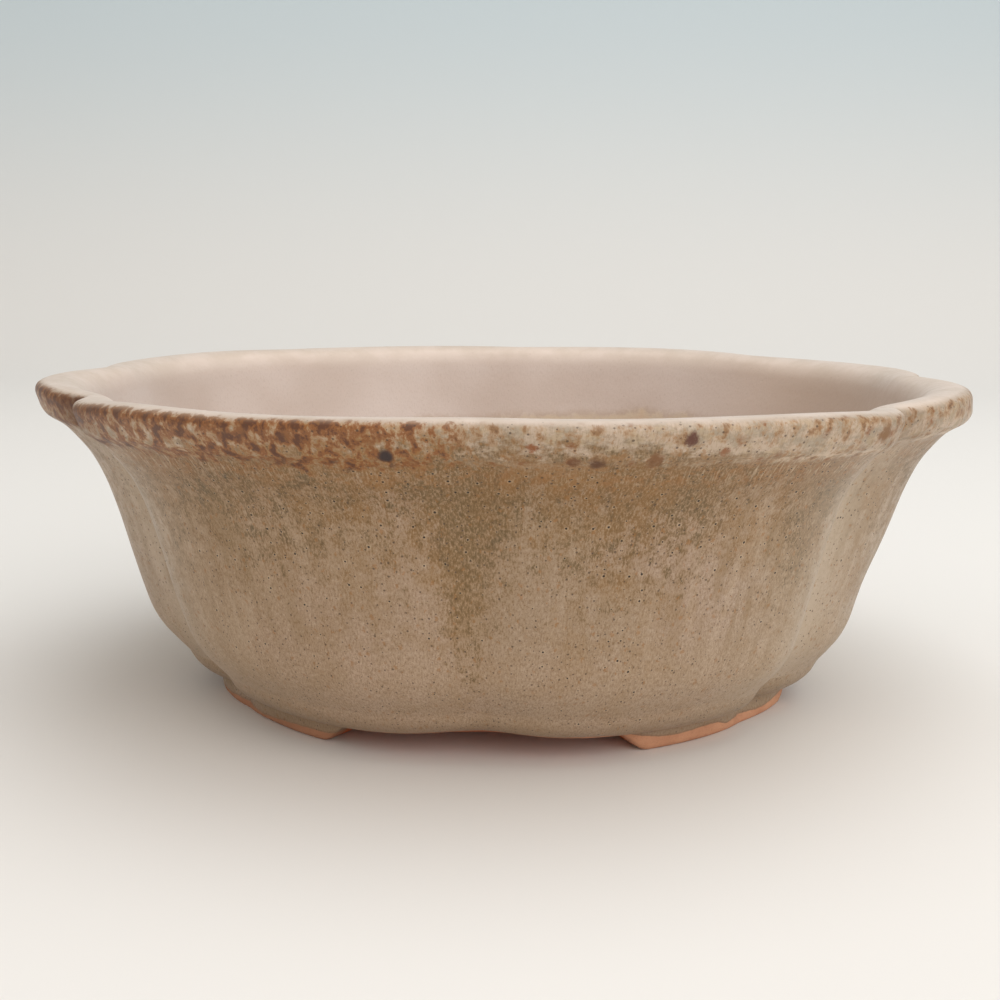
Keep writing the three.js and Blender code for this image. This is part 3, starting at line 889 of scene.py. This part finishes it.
    roughness = s.add(0.36, s.mul(s.step(0.35, 0.7, mottle), 0.12))
    roughness = s.add(roughness, s.add(s.mul(bare, 0.42), s.mul(s.mul(crease, band), 0.3)))
    relief = s.add(s.mul(mottle, 0.55), s.add(s.mul(grain, 0.18), s.mul(clay_grain, s.mul(bare, 0.5))))
    relief = s.sub(s.add(relief, s.mul(s.sub(1.0, bare), 0.5)), s.mul(holes, 0.9))
    relief = s.add(relief, s.mul(s.mul(comb, fibre), 0.5))
    return s.finish(color, roughness, relief, GLAZE_RELIEF)


PLAIN_RELIEF = 0.0001  # metres


def plain_material(name, color, roughness, metallic=0.0):
    s = Shader(name)
    p = s.scaled(s.coords, (1000, 1000, 1000))
    grain = s.noise(p, 0.9, 3, 0.6)
    dark = tuple(c * 0.75 for c in color[:3]) + (1.0,)
    s.bsdf.inputs["Metallic"].default_value = metallic
    return s.finish(s.blend(grain, dark, color), s.add(roughness, s.mul(grain, 0.12)), grain, PLAIN_RELIEF)


WALL_GLAZE = glaze_material("wall_glaze")
LIP_GLAZE = glaze_material("lip_glaze")
BASE_CLAY = glaze_material("bare_clay")
PLASTIC = plain_material("screen_plastic", tint(48, 52, 50), 0.5)
WIRE = plain_material("brown_wire", tint(150, 108, 72), 0.34, 1.0)


def mount(obj, node, material):
    obj.data.materials.append(material)
    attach(obj, ROOT)
    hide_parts(node)


mount(wall, "wall_shell", WALL_GLAZE)
mount(lip, "lip_band", LIP_GLAZE)
mount(slab, "floor_slab", BASE_CLAY)
for name, obj in feet.items():
    mount(obj, name, BASE_CLAY)
for side in ("left", "right"):
    for node, material in ((f"drain_screen_{side}", PLASTIC), (f"screen_staple_{side}", WIRE)):
        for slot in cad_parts[node].material_slots:
            slot.material = material

# ---- Studio -------------------------------------------------------------------------------

SWEEP_BACK = 1.9
SWEEP_BEND = 0.9
SWEEP_HEIGHT = 2.6
SWEEP_HALF_WIDTH = 9.0
SWEEP_FRONT = -14.0
# The paper is painted darker and cooler towards the top: a painted fall-off of the light.
PAPER_SHADE_RISE = 0.55  # height over which the paper turns from warm to cool
PAPER_ROUGHNESS = 0.9


def make_sweep():
    line = [(SWEEP_FRONT, 0.0)]
    for q in np.linspace(0, math.pi / 2, 40):
        line.append((SWEEP_BACK - SWEEP_BEND + SWEEP_BEND * math.sin(q), SWEEP_BEND * (1 - math.cos(q))))
    line.append((SWEEP_BACK, SWEEP_HEIGHT))
    verts = [(x, y, z) for y, z in line for x in (-SWEEP_HALF_WIDTH, SWEEP_HALF_WIDTH)]
    faces = [(2 * i, 2 * i + 1, 2 * i + 3, 2 * i + 2) for i in range(len(line) - 1)]
    return add_object("studio_sweep", verts, faces)


sweep = make_sweep()
paper = Shader("sweep_paper")
# Painted fall-off of the light up the sweep.
painted_paper_shade = paper.step(0.0, PAPER_SHADE_RISE, paper.parts(paper.coords)[2])
paper.finish(paper.blend(painted_paper_shade, tint(233, 231, 228), tint(203, 216, 222)), PAPER_ROUGHNESS)
sweep.data.materials.append(paper.material)

world = bpy.data.worlds.new("studio")
bpy.context.scene.world = world
world.use_nodes = True
background = world.node_tree.nodes["Background"]
background.inputs["Color"].default_value = (1.0, 0.94, 0.875, 1.0)
background.inputs["Strength"].default_value = 0.67

LIGHT_TARGET = (0, 0, 0.05)


def softbox(name, location, size, power, color):
    lamp = bpy.data.lights.new(name, "AREA")
    lamp.shape = "RECTANGLE"
    lamp.size, lamp.size_y = size
    lamp.energy = power
    lamp.color = color
    obj = bpy.data.objects.new(name, lamp)
    obj.location = location
    obj.rotation_euler = (Vector(LIGHT_TARGET) - Vector(location)).to_track_quat("-Z", "Y").to_euler()
    bpy.context.scene.collection.objects.link(obj)


softbox("key_softbox", (0.36, 0.05, 1.5), (2.0, 1.6), 13.6, (0.97, 0.99, 1.0))
softbox("fill_softbox", (1.0, -1.4, 0.95), (1.8, 1.1), 12, (1.0, 0.99, 0.98))

# ---- Camera -------------------------------------------------------------------------------

HEADING = math.radians(-3.0)
PITCH = math.radians(9.31)
ROLL = -0.0073  # radians
STAND_OFF = 0.457
EYE_HEIGHT = 0.1284
EYE_ASIDE = -0.00097
FIELD_OF_VIEW = math.radians(36.33)

ahead = Vector((math.sin(HEADING), math.cos(HEADING), 0))
aside = Vector((math.cos(HEADING), -math.sin(HEADING), 0))
forward = ahead * math.cos(PITCH) - Vector((0, 0, math.sin(PITCH)))
upright = ahead * math.sin(PITCH) + Vector((0, 0, math.cos(PITCH)))
cam_right = aside * math.cos(ROLL) - upright * math.sin(ROLL)
cam_up = upright * math.cos(ROLL) + aside * math.sin(ROLL)
camera_data = bpy.data.cameras.new("camera")
camera_data.angle = FIELD_OF_VIEW
camera = bpy.data.objects.new("camera", camera_data)
place_at = -ahead * STAND_OFF + aside * EYE_ASIDE + Vector((0, 0, EYE_HEIGHT))
basis = Matrix((cam_right, cam_up, -forward)).transposed().to_4x4()
camera.matrix_world = Matrix.Translation(place_at) @ basis
bpy.context.scene.collection.objects.link(camera)
bpy.context.scene.camera = camera
bpy.context.scene.view_settings.view_transform = "Standard"
